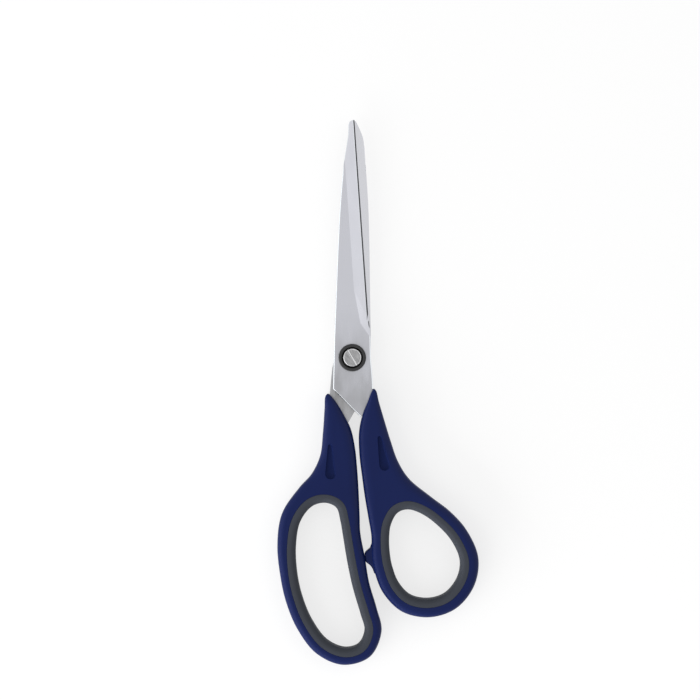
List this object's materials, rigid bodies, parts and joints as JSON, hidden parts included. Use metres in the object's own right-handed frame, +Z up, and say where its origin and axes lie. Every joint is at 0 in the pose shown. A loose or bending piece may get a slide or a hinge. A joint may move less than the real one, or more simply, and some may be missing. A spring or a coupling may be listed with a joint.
{
  "type": "office scissors",
  "caption": "Straight-bladed office scissors with a small thumb loop and a long finger loop, both lined with soft grip, joined by a slotted pivot screw.",
  "frame": {"origin": "centre of the bottom face of the closed scissors' bounding box, on the table", "axes": "+Y towards the blade tips, +Z up from the table through the pivot screw's head, +X towards the thumb loop"},
  "size_m": [0.0796, 0.215, 0.0095],
  "materials": {
    "blade_steel": "fine ground stainless steel",
    "pivot_steel": "turned steel",
    "navy_plastic": "satin moulded plastic",
    "soft_grip": "soft matt elastomer",
    "black_plastic": "satin black moulded plastic"
  },
  "bodies": {
    "finger_half": {"back_blade": "blade_steel", "finger_handle": "navy_plastic", "finger_grip": "soft_grip", "pivot_screw": "pivot_steel", "pivot_nut": "pivot_steel", "front_washer": "black_plastic", "rear_washer": "black_plastic"},
    "thumb_half": {"front_blade": "blade_steel", "thumb_handle": "navy_plastic", "thumb_grip": "soft_grip"}
  },
  "joints": [
    {"name": "blade_pivot", "type": "hinge", "parent": "finger_half", "child": "thumb_half", "pos_m": [-0.01012, 0.01366, 0.00475], "axis": [0, 0, 1], "range_deg": [0, 110]}
  ]
}
